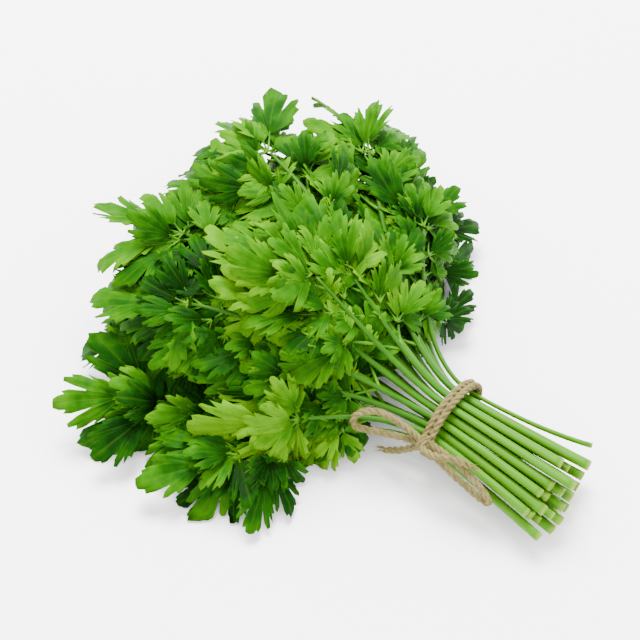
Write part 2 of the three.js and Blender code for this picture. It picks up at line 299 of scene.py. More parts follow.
def smoothRoute(points, step=0.5, fineSteps=24):
    # a Catmull-Rom curve through the points, resampled evenly
    points = [Vector(p) for p in points]
    ends = [points[0] * 2 - points[1]] + points + [points[-1] * 2 - points[-2]]
    fine = []
    for a, b, c, d in zip(ends, ends[1:], ends[2:], ends[3:]):
        for k in range(fineSteps):
            t = k / fineSteps
            fine.append(0.5 * ((2 * b) + (c - a) * t + (2 * a - 5 * b + 4 * c - d) * t * t
                               + (3 * b - a - 3 * c + d) * t ** 3))
    fine.append(points[-1])
    gone = [0.0]
    for a, b in zip(fine, fine[1:]):
        gone.append(gone[-1] + (b - a).length)
    count = max(int(gone[-1] / step), 4)
    even, k = [], 0
    for n in range(count + 1):
        want = gone[-1] * n / count
        while k < len(gone) - 2 and gone[k + 1] < want:
            k += 1
        even.append(fine[k].lerp(fine[k + 1], (want - gone[k]) / max(gone[k + 1] - gone[k], 1e-9)))
    return even, gone[-1]


def carriedSides(route):
    # a side direction at each point that turns as little as it can
    side = (route[1] - route[0]).orthogonal().normalized()
    sides = []
    for k in range(len(route)):
        along = (route[min(k + 1, len(route) - 1)] - route[max(k - 1, 0)]).normalized()
        side = (side - along * side.dot(along)).normalized()
        sides.append((along, side, along.cross(side)))
    return sides


def addCurve(name, lines, radius, bevelResolution):
    # every line is a list of (point in mm, thickness share) and becomes one round strand
    data = bpy.data.curves.new(name, "CURVE")
    data.dimensions = "3D"
    data.bevel_depth = radius * mm
    data.bevel_resolution = bevelResolution
    data.use_fill_caps = True
    for line in lines:
        spline = data.splines.new("POLY")
        spline.points.add(len(line) - 1)
        for point, (place, thick) in zip(spline.points, line):
            point.co = (*toFrame(place), 1)
            point.radius = thick
    strand = bpy.data.objects.new(name, data)
    bpy.context.collection.objects.link(strand)
    activate(strand)
    bpy.ops.object.convert(target="MESH")
    return bpy.context.object


rope = {
    "plyOffset": 0.5,
    "plyRadius": 0.56,
    "plyWander": 0.05,
    "wanderWave": 1.9,
    "plySwell": 0.1,
    "swellWave": 2.3,
    "opening": 0.08,
    "hairRadius": 0.075,
    "hairRoot": 0.8,
    "hairLength": 1.2,
    "hairJitter": 2.2,
    "hairsBack": 0.4,
    "frayed": 5,
    "frayHairs": 26,
    "frayLength": 2,
    "frayJitter": 3.2,
}


def twistedRope(name, points, seed, frayEnd=0.0, step=0.55, fibres=1.6):
    # three plies laid round one route, with loose fibres, that open towards a frayed end
    route, length = smoothRoute(points, step)
    sides = carriedSides(route)
    plies = []
    for ply in range(twine["plies"]):
        line = []
        for k, (place, (along, a, b)) in enumerate(zip(route, sides)):
            gone = length * k / (len(route) - 1)
            turn = 2 * math.pi * (gone / twine["twistPitch"] + ply / twine["plies"])
            wander = math.sin(gone * rope["wanderWave"] + ply * 2 + seed)
            wide = rope["plyOffset"] * twine["radius"] * (1 + rope["plyWander"] * wander)
            if frayEnd:
                wide += max(0, gone - length + frayEnd) * rope["opening"]
            swell = math.sin(gone * rope["swellWave"] + ply * 1.7 + seed * 3.1)
            thick = 1 + rope["plySwell"] * swell
            if frayEnd:
                thick *= clamp((length - gone) / frayEnd * 0.8 + 0.25, 0, 1)
            line.append((place + (a * math.cos(turn) + b * math.sin(turn)) * wide, thick))
        plies.append(line)
    laid = addCurve(name, plies, rope["plyRadius"] * twine["radius"], 1)
    hairs = []
    for n in range(int(length * fibres)):
        k = int(share(n, 50 + seed) * (len(route) - 1))
        along, a, b = sides[k]
        turn = 2 * math.pi * share(n, 51 + seed)
        out = a * math.cos(turn) + b * math.sin(turn)
        lie = along * (1 if share(n, 52 + seed) > rope["hairsBack"] else -1)
        reach = rope["hairLength"] + rope["hairJitter"] * share(n, 53 + seed)
        bend = a * sway(n, 54 + seed) + b * sway(n, 55 + seed)
        start = route[k] + out * rope["hairRoot"] * twine["radius"]
        hairs.append([
            (start, 1.0),
            (start + lie * reach * 0.5 + out * 0.5, 0.8),
            (start + lie * reach + out * (0.7 + 0.5 * share(n, 56 + seed)) + bend * 0.5, 0.4),
        ])
    for n in range(rope["frayHairs"] if frayEnd else 0):
        k = len(route) - 1 - int(share(n, 60 + seed) * frayEnd / step * 0.8)
        along, a, b = sides[k]
        turn = 2 * math.pi * share(n, 61 + seed)
        out = a * math.cos(turn) + b * math.sin(turn)
        reach = rope["frayLength"] + rope["frayJitter"] * share(n, 62 + seed)
        start = route[k] + out * 0.35
        hairs.append([
            (start, 1.6),
            (start + along * reach * 0.5 + out * (0.3 + 0.5 * share(n, 63 + seed)), 1.4),
            (start + along * reach + out * (0.5 + 1.4 * share(n, 64 + seed)), 0.7),
        ])
    loose = addCurve(name + "Fibres", hairs, rope["hairRadius"], 0)
    activate(laid)
    loose.select_set(True)
    bpy.ops.object.join()
    bpy.ops.object.shade_smooth()
    return laid, route, length


# the knot's own places are mm along, round and out from its middle
knot = {
    "cordStart": 0.6,
    "cordOut": 2.0,
    "tailRound": 0.8,
    "loopEnd": (0.8, -0.6, 0.9),
    "ringSteps": 48,
    "ringSink": 0.35,
    "wrapSteps": 24,
    "wrapTurns": 1.7,
    "wrapStart": 0.9,
    "wrapAlong": (-1.6, 1.5),
    "wrapRound": 2.9,
    "wrapMiddle": 1.6,
    "wrapHeight": 2.5,
    "cross": [(-4.6, -1.6, 1.2), (-2, 0.6, 1.9), (1.6, 1.4, 2.6), (4.8, 2.2, 1.6)],
}


def knotPoint(along, roundBy, out):
    at, away = ringPoint(math.radians(twine["knotAngle"]))
    around = away.cross(Vector((1, 0, 0)))
    return at + Vector((1, 0, 0)) * along + around * roundBy + away * out


def cordPiece(name, seed, farEnd):
    side, points = cords[name]
    places = [cordPoint(side, *p) for p in points]
    isLoop = farEnd == "object"
    inner = knotPoint(side * knot["cordStart"], 0.0 if isLoop else knot["tailRound"], knot["cordOut"])
    route = [inner] + places
    if isLoop:
        along, roundBy, out = knot["loopEnd"]
        route.append(knotPoint(side * along, roundBy, out))
    frayEnd = 0 if isLoop else rope["frayed"]
    piece, line, length = twistedRope(name + "_twine", route, seed, frayEnd)
    if not isLoop:
        line.append(line[-1] + (line[-1] - line[-2]).normalized() * twine["fray"])
        length += twine["fray"]
    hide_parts(name)
    return piece


def bindingTurns():
    # two turns round the stems and the knot's own wrap over the bow
    ropes = []
    for n, x in enumerate((-0.5, 0.5)):
        ring = []
        for k in range(knot["ringSteps"] + 1):
            angle = 2 * math.pi * k / knot["ringSteps"] + math.radians(twine["knotAngle"])
            at, out = ringPoint(angle)
            aside = Vector((x * twine["turnPitch"] * twine["radius"], 0, 0))
            ring.append(at + aside - out * knot["ringSink"])
        ropes.append(twistedRope("bindingTurn", ring, 11 + n, fibres=1.2)[0])
    wrap = []
    for k in range(knot["wrapSteps"] + 1):
        turn = 2 * math.pi * k / knot["wrapSteps"] * knot["wrapTurns"] - knot["wrapStart"]
        along = lerp(*knot["wrapAlong"], k / knot["wrapSteps"])
        out = knot["wrapMiddle"] + knot["wrapHeight"] * math.cos(turn)
        wrap.append(knotPoint(along, knot["wrapRound"] * math.sin(turn), out))
    ropes.append(twistedRope("knotWrap", wrap, 14)[0])
    cross = [knotPoint(*place) for place in knot["cross"]]
    ropes.append(twistedRope("knotCross", cross, 15)[0])
    activate(ropes[0])
    for strand in ropes[1:]:
        strand.select_set(True)
    bpy.ops.object.join()
    piece = bpy.context.object
    piece.name = piece.data.name = "twine_turns"
    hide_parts("twine_tie")
    return piece


def newMaterial(name):
    material = bpy.data.materials.new(name)
    material.use_nodes = True
    nodes, links = material.node_tree.nodes, material.node_tree.links
    return material, nodes, links, nodes["Principled BSDF"]


def addNode(nodes, kind, **values):
    node = nodes.new(kind)
    for key, value in values.items():
        if hasattr(node, key):
            setattr(node, key, value)
        else:
            node.inputs[key.replace("_", " ")].default_value = value
    return node


def addRamp(nodes, stops):
    node = nodes.new("ShaderNodeValToRGB")
    ramp = node.color_ramp
    while len(ramp.elements) < len(stops):
        ramp.elements.new(0.5)
    for element, (place, colour) in zip(ramp.elements, stops):
        element.position = place
        element.color = (*colour, 1)
    return node


def mixColours(nodes, links, factor, a, b, kind="MIX"):
    mix = nodes.new("ShaderNodeMix")
    mix.data_type = "RGBA"
    mix.blend_type = kind
    for socket, value in zip((mix.inputs[0], mix.inputs[6], mix.inputs[7]), (factor, a, b)):
        if isinstance(value, bpy.types.NodeSocket):
            links.new(value, socket)
        elif isinstance(value, (int, float)):
            socket.default_value = value
        else:
            socket.default_value = (*value, 1)
    return mix.outputs[2]


jute = {
    "shades": [(0.3, (0.036, 0.026, 0.008)), (0.5, (0.118, 0.096, 0.031)), (0.72, (0.215, 0.185, 0.07))],
    "patches": 260.0,
    "patchShare": 0.4,
    "strands": 2600.0,
    "strandShare": 0.65,
    "roughness": 0.95,
    "specular": 0.2,
    "bump": 0.6,
    "bumpDepth": 0.0002,
}


def juteMaterial():
    material, nodes, links, surface = newMaterial("juteTwine")
    where = nodes.new("ShaderNodeTexCoord").outputs["Object"]
    patches = addNode(nodes, "ShaderNodeTexNoise", Scale=jute["patches"], Detail=3.0)
    strands = addNode(nodes, "ShaderNodeTexNoise", Scale=jute["strands"], Detail=4.0, Roughness=0.7)
    links.new(where, patches.inputs["Vector"])
    links.new(where, strands.inputs["Vector"])
    blend = addNode(nodes, "ShaderNodeMath", operation="MULTIPLY_ADD")
    links.new(strands.outputs[0], blend.inputs[0])
    blend.inputs[1].default_value = jute["strandShare"]
    fainter = addNode(nodes, "ShaderNodeMath", operation="MULTIPLY")
    links.new(patches.outputs[0], fainter.inputs[0])
    fainter.inputs[1].default_value = jute["patchShare"]
    links.new(fainter.outputs[0], blend.inputs[2])
    ramp = addRamp(nodes, jute["shades"])
    links.new(blend.outputs[0], ramp.inputs[0])
    links.new(ramp.outputs[0], surface.inputs["Base Color"])
    surface.inputs["Roughness"].default_value = jute["roughness"]
    surface.inputs["Specular IOR Level"].default_value = jute["specular"]
    bump = addNode(nodes, "ShaderNodeBump", Strength=jute["bump"], Distance=jute["bumpDepth"])
    links.new(strands.outputs[0], bump.inputs["Height"])
    links.new(bump.outputs[0], surface.inputs["Normal"])
    return material


juteLook = juteMaterial()
twinePieces = [
    cordPiece("bow_loop_left", 1, "object"),
    cordPiece("bow_loop_right", 2, "object"),
    cordPiece("twine_tail_left", 3, "bare"),
    cordPiece("twine_tail_right", 4, "bare"),
    bindingTurns(),
]
for piece in twinePieces:
    piece.data.materials.clear()
    piece.data.materials.append(juteLook)
    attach(piece, "root")
print("twine tied")

# each half outline runs from the tip to the base, as degrees off the midrib and a share of the length,
# and its third number is 1 at a main tooth and 0 between teeth
blades = {
    "terminal": {"half": [
        (0, 1.0, 1), (4.5, 0.985, 0.6), (7.5, 0.91, 0.1), (10.5, 0.94, 0.7), (13.5, 0.85, 0.3),
        (16, 0.50, 0), (19.5, 0.76, 0.5), (23, 0.89, 1), (26.5, 0.86, 0.4), (29, 0.64, 0),
        (32.5, 0.78, 0.7), (35.5, 0.62, 0.1), (41, 0.64, 0.7), (45, 0.46, 0.1), (52, 0.40, 0.6),
        (58, 0.22, 0)], "lean": 0.0, "wide": 0.92},
    "narrow": {"half": [
        (0, 1.0, 1), (5, 0.98, 0.5), (8.5, 0.88, 0.1), (12, 0.90, 0.7), (15.5, 0.76, 0.3), (17.5, 0.54, 0),
        (21.5, 0.66, 0.5), (25.5, 0.74, 1), (29.5, 0.68, 0.4), (32, 0.54, 0), (37, 0.54, 0.6),
        (43, 0.28, 0)],
        "lean": 0.0, "wide": 0.95},
    "deep": {"half": [
        (0, 1.0, 1), (4, 0.98, 0.5), (6.5, 0.90, 0.2), (8, 0.80, 0), (11, 0.86, 0.7), (13, 0.74, 0.2),
        (14.5, 0.44, 0), (18, 0.68, 0.4), (21, 0.87, 1), (24.5, 0.87, 0.5), (27, 0.74, 0),
        (31, 0.80, 0.8), (34, 0.66, 0.2),
        (36, 0.44, 0), (41, 0.58, 0.7), (46, 0.32, 0)], "lean": 0.0, "wide": 1.0},
    "sideLeft": {"half": [
        (0, 1.0, 1), (5, 0.98, 0.5), (8, 0.90, 0.1), (11.5, 0.93, 0.7), (15, 0.82, 0.3), (17.5, 0.48, 0),
        (21, 0.74, 0.5), (25, 0.84, 1), (29, 0.79, 0.4), (31.5, 0.66, 0), (36, 0.68, 0.6), (40, 0.50, 0.1),
        (46, 0.48, 0.6), (52, 0.26, 0)], "lean": 0.14, "wide": 0.96},
    "sideRight": {"half": [
        (0, 1.0, 1), (5, 0.98, 0.5), (8, 0.90, 0.1), (11.5, 0.93, 0.7), (15, 0.82, 0.3), (17.5, 0.44, 0),
        (21, 0.72, 0.5), (25, 0.83, 1), (29, 0.78, 0.4), (31.5, 0.64, 0), (36, 0.66, 0.6), (40, 0.48, 0.1),
        (46, 0.46, 0.6), (52, 0.24, 0)], "lean": -0.14, "wide": 0.96},
}
bladeBuild = {
    "rings": (0.42, 0.76, 1.0),
    "pleat": 0.013,
    "innerPleat": 1.3,
    "rimPleat": 0.8,
    "bulge": 0.5,
    "toothDip": 0.05,
    "thickness": 0.0095,
}


def ringPlace(ray, ring):
    # the ribs are folded down and the strips between them bulge up
    angle, reach, vein = ray
    radians = math.radians(angle)
    r = reach * ring
    fold = bladeBuild["rimPleat"] if ring == 1 else bladeBuild["innerPleat"]
    z = lerp(1.0, -bladeBuild["bulge"], vein) * bladeBuild["pleat"] * ring * fold
    if ring == 1:
        z -= bladeBuild["toothDip"] * vein
    return Vector((r * math.cos(radians), r * math.sin(radians), z))


def bladeRays(half, lean):
    # both halves of an outline, from one side's base round the tip to the other's, leaning to one side
    rays = [(-a * (1 + lean), r * (1 - 0.5 * lean), vein) for a, r, vein in reversed(half[1:])]
    rays.append(half[0])
    rays += [(a * (1 - lean), r * (1 + 0.5 * lean), vein) for a, r, vein in half[1:]]
    return rays


def aroundBase(vert):
    return math.atan2(vert.co.y, vert.co.x)


def makeBlade(name):
    style = blades[name]
    rays = bladeRays(style["half"], style["lean"])
    deselectAll()
    bpy.ops.mesh.primitive_circle_add(vertices=len(rays), radius=0.4, fill_type="TRIFAN")
    blade = bpy.context.object
    blade.name = blade.data.name = "leaflet_" + name
    bpy.ops.object.mode_set(mode="EDIT")
    bm = bmesh.from_edit_mesh(blade.data)
    veinLayer = bm.verts.layers.float.new("vein")
    rimLayer = bm.verts.layers.float.new("rim")
    bm.verts.ensure_lookup_table()
    middle = min(bm.verts, key=lambda vert: vert.co.length)
    around = sorted((vert for vert in bm.verts if vert is not middle), key=aroundBase)
    middle.co = (0, 0, 0)
    middle[veinLayer] = 1
    for vert, ray in zip(around, rays):
        vert.co = ringPlace(ray, bladeBuild["rings"][0])
        vert[veinLayer], vert[rimLayer] = ray[2], bladeBuild["rings"][0]
    closing = [face for face in bm.faces if around[0] in face.verts and around[-1] in face.verts]
    bmesh.ops.delete(bm, geom=closing, context="FACES_ONLY")
    leftover = [edge for edge in bm.edges if not edge.link_faces]
    bmesh.ops.delete(bm, geom=leftover, context="EDGES")
    bmesh.update_edit_mesh(blade.data)
    for ring in bladeBuild["rings"][1:]:
        bpy.ops.mesh.select_all(action="DESELECT")
        bm = bmesh.from_edit_mesh(blade.data)
        rimLayer, veinLayer = bm.verts.layers.float["rim"], bm.verts.layers.float["vein"]
        outermost = max(vert[rimLayer] for vert in bm.verts)
        for edge in bm.edges:
            if all(abs(vert[rimLayer] - outermost) < 1e-6 for vert in edge.verts):
                edge.select_set(True)
        bm.select_flush_mode()
        bmesh.update_edit_mesh(blade.data)
        bpy.ops.mesh.extrude_edges_move()
        bm = bmesh.from_edit_mesh(blade.data)
        rimLayer, veinLayer = bm.verts.layers.float["rim"], bm.verts.layers.float["vein"]
        grown = sorted((vert for vert in bm.verts if vert.select), key=aroundBase)
        for vert, ray in zip(grown, rays):
            vert.co = ringPlace(ray, ring)
            vert[veinLayer], vert[rimLayer] = ray[2], ring
        bmesh.update_edit_mesh(blade.data)
    bpy.ops.mesh.select_all(action="SELECT")
    bpy.ops.mesh.normals_make_consistent(inside=False)
    bpy.ops.object.mode_set(mode="OBJECT")
    if blade.data.polygons[0].normal.z < 0:
        blade.data.flip_normals()
    for vert in blade.data.vertices:
        vert.co.y *= style["wide"]
    upper = len(blade.data.vertices)
    solid = blade.modifiers.new("thickness", "SOLIDIFY")
    solid.thickness = bladeBuild["thickness"]
    solid.offset = -1
    bpy.ops.object.modifier_apply(modifier=solid.name)
    under = blade.data.attributes.new("under", "FLOAT", "POINT")
    under.data.foreach_set("value", [0.0 if k < upper else 1.0 for k in range(len(blade.data.vertices))])
    blade.data.attributes.new("tint", "FLOAT", "POINT")
    bpy.ops.object.shade_smooth()
    print("leaflet", name, len(blade.data.polygons), "faces")
    return blade


bladeModels = {name: makeBlade(name) for name in blades}

stalkBuild = {
    "sides": 10,
    "rings": 36,
    "groove": 0.12,
    "thinSides": 6,
    "thinRings": 5,
    "cutInsets": (0.25, 0.3),
    "cutDish": 0.003,
}


def makeStalk(name, sides, rings, groove):
    # a unit rod along Z, cut across into rings, with shallow grooves down its length and a dished cut end
    deselectAll()
    bpy.ops.mesh.primitive_cylinder_add(vertices=sides, radius=1, depth=1, location=(0, 0, 0.5))
    stalk = bpy.context.object
    stalk.name = stalk.data.name = name
    bpy.ops.object.transform_apply(location=True, rotation=False, scale=False)
    bpy.ops.object.mode_set(mode="EDIT")
    bpy.ops.mesh.select_all(action="DESELECT")
    bm = bmesh.from_edit_mesh(stalk.data)
    for edge in bm.edges:
        if abs(edge.verts[0].co.z - edge.verts[1].co.z) > 0.5:
            edge.select_set(True)
    bmesh.update_edit_mesh(stalk.data)
    bpy.ops.mesh.subdivide(number_cuts=rings - 1)
    bpy.ops.mesh.select_all(action="DESELECT")
    bm = bmesh.from_edit_mesh(stalk.data)
    for face in bm.faces:
        if abs(face.normal.z) > 0.9 and face.calc_center_median().z < 0.01:
            face.select_set(True)
    bmesh.update_edit_mesh(stalk.data)
    for inset in stalkBuild["cutInsets"]:
        bpy.ops.mesh.inset(thickness=inset)
    bpy.ops.transform.translate(value=(0, 0, stalkBuild["cutDish"]))
    bpy.ops.object.mode_set(mode="OBJECT")
    for vert in stalk.data.vertices:
        flat = math.hypot(vert.co.x, vert.co.y)
        if flat > 0.9:
            ray = round(math.atan2(vert.co.y, vert.co.x) / (2 * math.pi) * sides)
            shrink = 1 - groove * (ray % 2)
            vert.co.x *= shrink
            vert.co.y *= shrink
    along = stalk.data.attributes.new("along", "FLOAT", "POINT")
    along.data.foreach_set("value", [vert.co.z for vert in stalk.data.vertices])
    stalk.data.attributes.new("tint", "FLOAT", "POINT")
    bpy.ops.object.shade_smooth()
    return stalk


stemModel = makeStalk("stemModel", stalkBuild["sides"], stalkBuild["rings"], stalkBuild["groove"])
stalkModel = makeStalk("stalkModel", stalkBuild["thinSides"], stalkBuild["thinRings"], 0.0)


def ownCopy(model, tint):
    piece = model.copy()
    piece.data = model.data.copy()
    bpy.context.collection.objects.link(piece)
    piece.data.attributes["tint"].data.foreach_set("value", [tint] * len(piece.data.vertices))
    return piece


def setPlaces(piece, places):
    flat = np.array([tuple(toFrame(place)) for place in places], dtype=np.float32).ravel()
    piece.data.vertices.foreach_set("co", flat)
    piece.data.update()


def growStem(plan, tint):
    # the model stem, bent along its route from the cut end to the tip
    piece = ownCopy(stemModel, tint)
    places = []
    for vert in piece.data.vertices:
        s = lerp(-plan["cut"], plan["length"], vert.co.z)
        at, along, face = stemFrame(plan, s)
        side = face.cross(along)
        radius = stemRadius(plan, s)
        places.append(at + face * vert.co.x * radius + side * vert.co.y * radius)
    setPlaces(piece, places)
    return piece


def growStalk(start, end, sag, radii, tint):
    # a thin stalk from start to end that sags by the given vector at its middle
    piece = ownCopy(stalkModel, tint)
    along = (end - start).normalized()
    a = along.orthogonal().normalized()
    b = along.cross(a)
    places = []
    for vert in piece.data.vertices:
        t = vert.co.z
        radius = lerp(*radii, t)
        places.append(start.lerp(end, t) + sag * 4 * t * (1 - t) + (a * vert.co.x + b * vert.co.y) * radius)
    setPlaces(piece, places)
    return piece


ripple = {"height": 0.05, "across": 9, "along": 7, "phase": 20}
leastHeight = 0.25  # mm over the floor
leastBend = 1e-3  # a bend or a cup below this counts as flat


def growBlade(kind, base, reach, up, size, shape, tint):
    # a curled, cupped and twisted leaflet that grows from base along reach, with its face along up
    piece = ownCopy(bladeModels[kind], tint)
    side = up.cross(reach).normalized()
    bend, cup, twist, wave = shape
    places = []
    for vert in piece.data.vertices:
        x, y, z = vert.co
        phase = ripple["across"] * y + ripple["along"] * x + ripple["phase"] * wave
        z += wave * ripple["height"] * math.sin(phase) * x
        roll = cup * y
        across = math.sin(roll) / cup if abs(cup) > leastBend else y
        lift = (1 - math.cos(roll)) / cup if abs(cup) > leastBend else 0.0
        across -= z * math.sin(roll)
        lift += z * math.cos(roll)
        turn = twist * x
        cosTurn, sinTurn = math.cos(turn), math.sin(turn)
        across, lift = across * cosTurn - lift * sinTurn, across * sinTurn + lift * cosTurn
        fall = bend * x
        ahead = math.sin(fall) / bend if abs(bend) > leastBend else x
        drop = (1 - math.cos(fall)) / bend if abs(bend) > leastBend else 0.0
        ahead += lift * math.sin(fall)
        height = lift * math.cos(fall) - drop
        place = base + (reach * ahead + side * across + up * height) * size
        place.z = max(place.z, leastHeight)
        places.append(place)
    setPlaces(piece, places)
    return piece


# a frond starts this far back from the stem's tip, on a stalk, at an angle to the stem
spray = {"back": 0, "stalk": 1, "length": 50, "angle": 0}
lobePairs = [
    {"back": 30, "stalk": 13, "length": 36, "angle": 38, "innerEdge": 0.5, "lowest": -1, "minLength": 57},
    {"back": 58, "stalk": 15, "length": 31, "angle": 46, "innerEdge": 0.75, "lowest": -1, "minLength": 100},
    {"back": 78, "stalk": 9, "length": 30, "angle": 34, "innerEdge": 0.4, "lowest": 0.2, "minLength": 108},
]
# small fronds that thicken the head between the others
fillers = [
    {"back": 5, "stalk": 6, "length": 42, "angle": 25, "minLength": 50},
    {"back": 15, "stalk": 5, "length": 38, "angle": 52, "minLength": 60},
    {"back": 44, "stalk": 8, "length": 35, "angle": 38, "minLength": 92},
]


def turned(vector, axis, degrees):
    return Matrix.Rotation(math.radians(degrees), 3, axis) @ vector


def plateFrame(plan, part, side, n):
    # where a frond starts, which way it grows and which way its upper side faces, lifted clear of the floor
    back, stalk, length, angle = part["back"], part["stalk"], part["length"], part["angle"]
    at, along, face = stemFrame(plan, plan["length"] - back * plan["size"])
    i = plan["i"]
    direction = turned(along, face, side * (angle + leaf["turnJitter"] * sway(i, 20 + n)))
    hinge = face.cross(direction).normalized()
    droop = leaf["droop"] * (leaf["droopLeast"] + leaf["droopMore"] * share(i, 30 + n))
    roll = leaf["roll"] * sway(i, 40 + n)
    size = length * plan["size"]
    for lift in range(leaf["lifts"]):
        tilt = droop - leaf["liftStep"] * lift
        reach = turned(direction, hinge, tilt)
        up = turned(face, hinge, tilt)
        up = turned(up, reach, roll * clamp(1 - lift / leaf["flatAfter"]))
        across = up.cross(reach)
        far = at.z + reach.z * (stalk + size)
        wide = at.z + reach.z * (stalk + 0.5 * size) - abs(across.z) * leaf["halfWidth"] * size
        if min(far, wide) - leaf["thickness"] > leaf["floorGap"]:
            break
    return at, reach, up


fullFrond = {"leaflets": 7, "sag": 0.8, "stalkRadii": (1.0, 0.6), "darker": 0.0, "draw": 1}
smallFrond = {"leaflets": 5, "sag": 0.5, "stalkRadii": (0.8, 0.5), "darker": 0.08, "draw": 40}
# a frond's leaflets, in shares of its length and in degrees, with the ones that every frond has first
leaflets = [
    {"kind": "terminal", "side": 0, "angle": 0, "start": 0.34, "size": 0.66, "droop": 0},
    {"kind": "sideLeft", "side": -1, "angle": 36, "start": 0.20, "size": 0.60, "droop": 5},
    {"kind": "sideRight", "side": 1, "angle": 36, "start": 0.20, "size": 0.60, "droop": 5},
    {"kind": "deep", "side": -1, "angle": 18, "start": 0.10, "size": 0.50, "droop": -34},
    {"kind": "deep", "side": 1, "angle": 22, "start": 0.06, "size": 0.46, "droop": -22},
    {"kind": "sideLeft", "side": -1, "angle": 76, "start": 0.06, "size": 0.52, "droop": 8},
    {"kind": "sideRight", "side": 1, "angle": 76, "start": 0.06, "size": 0.52, "droop": 8},
]


leafletShape = {
    "fork": 0.05,
    "turn": 10,
    "hang": 15,
    "roll": 26,
    "sizeJitter": 0.1,
    "bend": (0.35, 0.55),
    "cup": (-0.3, 0.9),
    "twist": 0.5,
    "wave": (0.4, 0.6),
    "tintJitter": 0.26,
    "stalkRadii": (0.62, 0.42),
    "stalkSag": 0.3,
    "stalkOverlap": 0.06,
    "deepAbove": 0.4,
    "narrowAbove": 0.7,
}


def growFrond(base, reach, up, frondLength, seed, tint, count):
    # one leaflet ahead and the others in pairs at its sides, each on a short stalk
    pieces = []
    own = leafletShape
    fork = base + reach * frondLength * own["fork"]
    for n, part in enumerate(leaflets[:count]):
        kind = part["kind"]
        angle = part["side"] * part["angle"] + own["turn"] * sway(seed, 70 + n)
        droop = part["droop"] + own["hang"] * sway(seed, 74 + n)
        direction = turned(reach, up, angle)
        hinge = up.cross(direction).normalized()
        ahead = turned(direction, hinge, droop)
        face = turned(turned(up, hinge, droop), ahead, own["roll"] * sway(seed, 78 + n))
        size = part["size"] * frondLength * (1 + own["sizeJitter"] * sway(seed, 82 + n))
        start = fork + ahead * frondLength * part["start"]
        shape = (
            own["bend"][0] + own["bend"][1] * sway(seed, 86 + n),
            own["cup"][0] + own["cup"][1] * sway(seed, 90 + n),
            own["twist"] * sway(seed, 94 + n),
            own["wave"][0] + own["wave"][1] * share(seed, 98 + n),
        )
        leafletTint = clamp(tint + own["tintJitter"] * sway(seed, 102 + n))
        if n == 0 and share(seed, 106) > own["deepAbove"]:
            kind = "narrow" if share(seed, 106) > own["narrowAbove"] else "deep"
        stalkEnd = start + ahead * size * own["stalkOverlap"]
        pieces.append(growStalk(fork, stalkEnd, up * -own["stalkSag"], own["stalkRadii"], tint))
        pieces.append(growBlade(kind, start, ahead, face, size, shape, leafletTint))
    return pieces


def growPair(plan, part, style, n, tint):
    # a frond on each side of the stem, on a stalk of its own
    pieces = []
    for side in (-1, 1):
        n += 1
        at, reach, up = plateFrame(plan, part, side, n)
        fork = at + reach * part["stalk"]
        pieces.append(growStalk(at, fork, up * -style["sag"], style["stalkRadii"], tint))
        seed = plan["i"] * 7 + style["draw"] + n
        length = part["length"] * plan["size"]
        pieces += growFrond(fork, reach, up, length, seed, tint - style["darker"], style["leaflets"])
    return pieces


# how light a sprig is, from 0 to 1, with painted light that makes higher sprigs lighter and near-side
# sprigs lighter than far-side ones, and how much lighter the few young ones are
sprigTint = {
    "middle": 0.39,
    "jitter": 0.26,
    "paintedLightAbove": 0.06,
    "nearer": 0.08,
    "young": 0.35,
    "youngAbove": 0.82,
}


def growSprig(plan):
    i = plan["i"]
    tint = sprigTint["middle"] + sprigTint["jitter"] * sway(i, 8)
    # painted light: higher sprigs are painted lighter as if lit from above, near-side sprigs lighter and
    # far-side sprigs darker
    tint += sprigTint["paintedLightAbove"] * plan["v"] - sprigTint["nearer"] * plan["u"]
    tint = clamp(tint + (sprigTint["young"] if share(i, 9) > sprigTint["youngAbove"] else 0))
    pieces = [growStem(plan, tint)]
    at, reach, up = plateFrame(plan, spray, 0, 0)
    seed = i * 7 + fullFrond["draw"]
    pieces += growFrond(at, reach, up, spray["length"] * plan["size"], seed, tint, fullFrond["leaflets"])
    lobes = [lobe for lobe in lobePairs if plan["edge"] > lobe["innerEdge"]
             and plan["length"] > lobe["minLength"] and plan["v"] >= lobe["lowest"]]
    between = [filler for filler in fillers if plan["length"] > filler["minLength"]]
    for k, lobe in enumerate(lobes):
        pieces += growPair(plan, lobe, fullFrond, 2 * k, tint)
    for k, filler in enumerate(between, len(lobes)):
        pieces += growPair(plan, filler, smallFrond, 2 * k, tint)
    activate(pieces[0])
    for piece in pieces[1:]:
        piece.select_set(True)
    bpy.ops.object.join()
    sprig = bpy.context.object
    sprig.name = sprig.data.name = "sprig_%02d_green" % (i + 1)
    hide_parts("sprig_%02d" % (i + 1))
    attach(sprig, "root")
    return sprig


leafLook = {
    "shades": [
        (0.0, (0.0010, 0.018, 0.0001)),
        (0.3, (0.0055, 0.058, 0.0001)),
        (0.62, (0.030, 0.142, 0.0001)),
        (1.0, (0.094, 0.255, 0.0001)),
    ],
    "vein": (0.064, 0.19, 0.001),
    "underside": (0.030, 0.13, 0.0005),
    "through": (0.055, 0.23, 0.0001),
    "roughness": 0.5,
    "specular": 0.04,
    "mottle": 110.0,
    "patches": 0.8,
    "patchLevel": -0.52,
    # painted highlight: how much paler the leaflet rims are painted
    "rimHighlight": 0.34,
    "rimPower": 3.0,
    "ribPaler": 0.26,
    "ribPower": 7.0,
    "underPaler": 0.55,
    "translucency": 0.3,
    "throughShare": 0.5,
    "grain": 1500.0,
    "ribBump": -0.8,
    "bump": 0.5,
    "bumpDepth": 0.0004,
}


def readAttribute(nodes, name):
    node = nodes.new("ShaderNodeAttribute")
    node.attribute_name = name
    return node.outputs["Fac"]


def doMath(nodes, links, operation, a, b=None, c=None):
    node = nodes.new("ShaderNodeMath")
    node.operation = operation
    for socket, value in zip(node.inputs, (a, b, c)):
        if isinstance(value, bpy.types.NodeSocket):
            links.new(value, socket)
        elif value is not None:
            socket.default_value = value
    return node.outputs[0]


